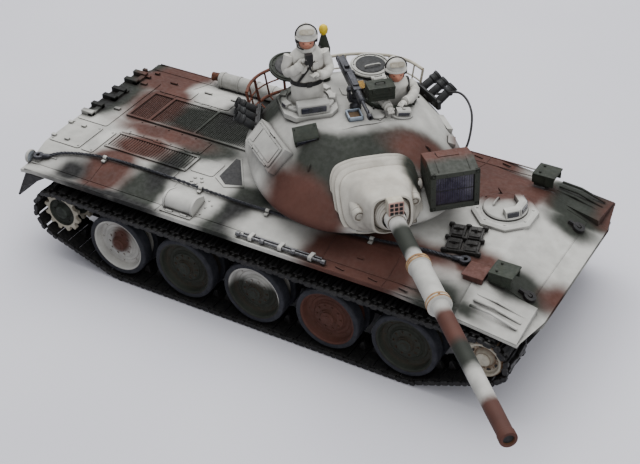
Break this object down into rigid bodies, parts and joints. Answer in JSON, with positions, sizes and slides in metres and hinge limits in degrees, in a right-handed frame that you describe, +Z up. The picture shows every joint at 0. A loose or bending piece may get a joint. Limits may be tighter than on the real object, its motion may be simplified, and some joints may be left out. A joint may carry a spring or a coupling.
{
  "type": "rc tank",
  "caption": "Radio-controlled scale battle tank with driven tracks, turning turret, elevating gun, opening hatches and two crew figures.",
  "frame": {"origin": "on the ground, at the middle of the footprint of the whole model with its turret turned to the right as stored", "axes": "+X towards the front of the hull, +Y to its left, +Z up"},
  "size_m": [0.2242, 0.165, 0.0943],
  "materials": {
    "hull_paint": "matt airbrushed camouflage of white, dark green and red-brown",
    "turret_paint": "matt airbrushed camouflage of white, dark green and red-brown",
    "wheel_paint": "matt paint on the discs, satin black tyres",
    "track_steel": "dark metallic grey with dry-brushed edges",
    "gunmetal": "dark gunmetal with worn edges",
    "rubber": "matt black",
    "canvas": "moulded canvas, matt, with darkened folds",
    "figure_paint": "matt white winter clothing with shaded folds",
    "lamp_glass": "smoked clear plastic",
    "motor_can": "bright plated steel",
    "cell_wrap": "satin shrink wrap",
    "circuit_board": "solder mask",
    "black_plastic": "moulded satin plastic"
  },
  "bodies": {
    "hull": {"battery_pack": "cell_wrap", "cleaning_rods": "gunmetal", "engine_grille": "hull_paint", "exhaust_box": "hull_paint", "exhaust_guard": "hull_paint", "gearbox_case": "black_plastic", "headlamp_left": "hull_paint", "headlamp_right": "hull_paint", "louvre_panel": "hull_paint", "lower_hull": "hull_paint", "motor_left": "motor_can", "motor_right": "motor_can", "mud_flap_left": "rubber", "mud_flap_right": "rubber", "rear_plate": "hull_paint", "receiver_board": "circuit_board", "spare_track": "track_steel", "suspension_left": "hull_paint", "suspension_right": "hull_paint", "tow_cable": "gunmetal", "track_left": "track_steel", "track_right": "track_steel", "upper_hull": "hull_paint"},
    "turret": {"turret_shell": "turret_paint", "commander_cupola": "turret_paint", "bustle_rack": "turret_paint", "stowage_box": "turret_paint", "smoke_tubes_right": "gunmetal", "smoke_tubes_left": "gunmetal", "sight_hood": "turret_paint", "loader_periscope": "turret_paint", "sensor_mast": "canvas", "commander_figure": "figure_paint", "loader_figure": "figure_paint", "canvas_cover": "canvas"},
    "gun": {"mantlet": "turret_paint", "gun_barrel": "turret_paint", "searchlight_housing": "turret_paint", "searchlight_glass": "lamp_glass"},
    "commander_hatch": {"commander_hatch": "turret_paint"},
    "loader_hatch": {"loader_hatch": "turret_paint"},
    "driver_hatch": {"driver_hatch": "hull_paint"},
    "mg_mount": {"mg_mount": "gunmetal"},
    "machine_gun": {"machine_gun": "gunmetal"},
    "battery_door": {"battery_door": "black_plastic"},
    "power_switch": {"power_switch": "black_plastic"},
    "idler_left": {"idler_left": "wheel_paint"},
    "idler_right": {"idler_right": "wheel_paint"},
    "road_wheel_left_1": {"road_wheel_left_1": "wheel_paint"},
    "road_wheel_left_2": {"road_wheel_left_2": "wheel_paint"},
    "road_wheel_left_3": {"road_wheel_left_3": "wheel_paint"},
    "road_wheel_left_4": {"road_wheel_left_4": "wheel_paint"},
    "road_wheel_left_5": {"road_wheel_left_5": "wheel_paint"},
    "road_wheel_right_1": {"road_wheel_right_1": "wheel_paint"},
    "road_wheel_right_2": {"road_wheel_right_2": "wheel_paint"},
    "road_wheel_right_3": {"road_wheel_right_3": "wheel_paint"},
    "road_wheel_right_4": {"road_wheel_right_4": "wheel_paint"},
    "road_wheel_right_5": {"road_wheel_right_5": "wheel_paint"},
    "sprocket_left": {"sprocket_left": "wheel_paint"},
    "sprocket_right": {"sprocket_right": "wheel_paint"}
  },
  "joints": [
    {"name": "turret_traverse", "type": "hinge", "parent": "hull", "child": "turret", "pos_m": [0.00852, 0.029, 0.0009], "axis": [0, 0, 1], "range_deg": [-122.8, 217.2]},
    {"name": "gun_elevation", "type": "hinge", "parent": "turret", "child": "gun", "pos_m": [0.02483, 0.01139, 0.0529], "axis": [-0.7337, -0.6794, 0], "range_deg": [-8.2, 6.3]},
    {"name": "commander_hatch_hinge", "type": "hinge", "parent": "turret", "child": "commander_hatch", "pos_m": [-0.0213, 0.03834, 0.0667], "axis": [0.632, 0.7749, 0], "range_deg": [0, 65]},
    {"name": "loader_hatch_hinge", "type": "hinge", "parent": "turret", "child": "loader_hatch", "pos_m": [0.00133, 0.0562, 0.0652], "axis": [0.6587, 0.7524, 0], "range_deg": [0, 75]},
    {"name": "driver_hatch_swing", "type": "hinge", "parent": "hull", "child": "driver_hatch", "pos_m": [0.05312, 0.0459, 0.0009], "axis": [0, 0, 1], "range_deg": [0, 70]},
    {"name": "mg_traverse", "type": "hinge", "parent": "turret", "child": "mg_mount", "pos_m": [0.00137, 0.03805, 0.0009], "axis": [0, 0, 1], "range_deg": [-3, 3]},
    {"name": "mg_elevation", "type": "hinge", "parent": "mg_mount", "child": "machine_gun", "pos_m": [0.00137, 0.03805, 0.0704], "axis": [-0.7337, -0.6794, 0], "range_deg": [-6, 12]},
    {"name": "battery_door_slide", "type": "slide", "parent": "hull", "child": "battery_door", "axis": [-1, 0, 0], "range_m": [0, 0.004]},
    {"name": "power_switch_slide", "type": "slide", "parent": "hull", "child": "power_switch", "axis": [1, 0, 0], "range_m": [0, 0.0024]},
    {"name": "sprocket_right_spin", "type": "hinge", "parent": "hull", "child": "sprocket_right", "pos_m": [-0.09237, -0.0087, 0.0195], "axis": [0, 1, 0], "continuous": true},
    {"name": "idler_right_spin", "type": "hinge", "parent": "hull", "child": "idler_right", "pos_m": [0.07512, -0.0087, 0.0204], "axis": [0, 1, 0], "continuous": true},
    {"name": "road_wheel_right_1_spin", "type": "hinge", "parent": "hull", "child": "road_wheel_right_1", "pos_m": [-0.06661, -0.0087, 0.0147], "axis": [0, 1, 0], "continuous": true},
    {"name": "road_wheel_right_2_spin", "type": "hinge", "parent": "hull", "child": "road_wheel_right_2", "pos_m": [-0.03805, -0.0087, 0.0147], "axis": [0, 1, 0], "continuous": true},
    {"name": "road_wheel_right_3_spin", "type": "hinge", "parent": "hull", "child": "road_wheel_right_3", "pos_m": [-0.00948, -0.0087, 0.0147], "axis": [0, 1, 0], "continuous": true},
    {"name": "road_wheel_right_4_spin", "type": "hinge", "parent": "hull", "child": "road_wheel_right_4", "pos_m": [0.0191, -0.0087, 0.0147], "axis": [0, 1, 0], "continuous": true},
    {"name": "road_wheel_right_5_spin", "type": "hinge", "parent": "hull", "child": "road_wheel_right_5", "pos_m": [0.04766, -0.0087, 0.0147], "axis": [0, 1, 0], "continuous": true},
    {"name": "sprocket_left_spin", "type": "hinge", "parent": "hull", "child": "sprocket_left", "pos_m": [-0.09237, 0.0667, 0.0195], "axis": [0, 1, 0], "continuous": true},
    {"name": "idler_left_spin", "type": "hinge", "parent": "hull", "child": "idler_left", "pos_m": [0.07512, 0.0667, 0.0204], "axis": [0, 1, 0], "continuous": true},
    {"name": "road_wheel_left_1_spin", "type": "hinge", "parent": "hull", "child": "road_wheel_left_1", "pos_m": [-0.06661, 0.0667, 0.0147], "axis": [0, 1, 0], "continuous": true},
    {"name": "road_wheel_left_2_spin", "type": "hinge", "parent": "hull", "child": "road_wheel_left_2", "pos_m": [-0.03805, 0.0667, 0.0147], "axis": [0, 1, 0], "continuous": true},
    {"name": "road_wheel_left_3_spin", "type": "hinge", "parent": "hull", "child": "road_wheel_left_3", "pos_m": [-0.00948, 0.0667, 0.0147], "axis": [0, 1, 0], "continuous": true},
    {"name": "road_wheel_left_4_spin", "type": "hinge", "parent": "hull", "child": "road_wheel_left_4", "pos_m": [0.0191, 0.0667, 0.0147], "axis": [0, 1, 0], "continuous": true},
    {"name": "road_wheel_left_5_spin", "type": "hinge", "parent": "hull", "child": "road_wheel_left_5", "pos_m": [0.04766, 0.0667, 0.0147], "axis": [0, 1, 0], "continuous": true}
  ],
  "couplings": [
    {"joint": "idler_right_spin", "follows": "sprocket_right_spin", "ratio": 1.1739},
    {"joint": "road_wheel_right_1_spin", "follows": "sprocket_right_spin", "ratio": 0.6585},
    {"joint": "road_wheel_right_2_spin", "follows": "sprocket_right_spin", "ratio": 0.6585},
    {"joint": "road_wheel_right_3_spin", "follows": "sprocket_right_spin", "ratio": 0.6585},
    {"joint": "road_wheel_right_4_spin", "follows": "sprocket_right_spin", "ratio": 0.6585},
    {"joint": "road_wheel_right_5_spin", "follows": "sprocket_right_spin", "ratio": 0.6585},
    {"joint": "idler_left_spin", "follows": "sprocket_left_spin", "ratio": 1.1739},
    {"joint": "road_wheel_left_1_spin", "follows": "sprocket_left_spin", "ratio": 0.6585},
    {"joint": "road_wheel_left_2_spin", "follows": "sprocket_left_spin", "ratio": 0.6585},
    {"joint": "road_wheel_left_3_spin", "follows": "sprocket_left_spin", "ratio": 0.6585},
    {"joint": "road_wheel_left_4_spin", "follows": "sprocket_left_spin", "ratio": 0.6585},
    {"joint": "road_wheel_left_5_spin", "follows": "sprocket_left_spin", "ratio": 0.6585}
  ]
}
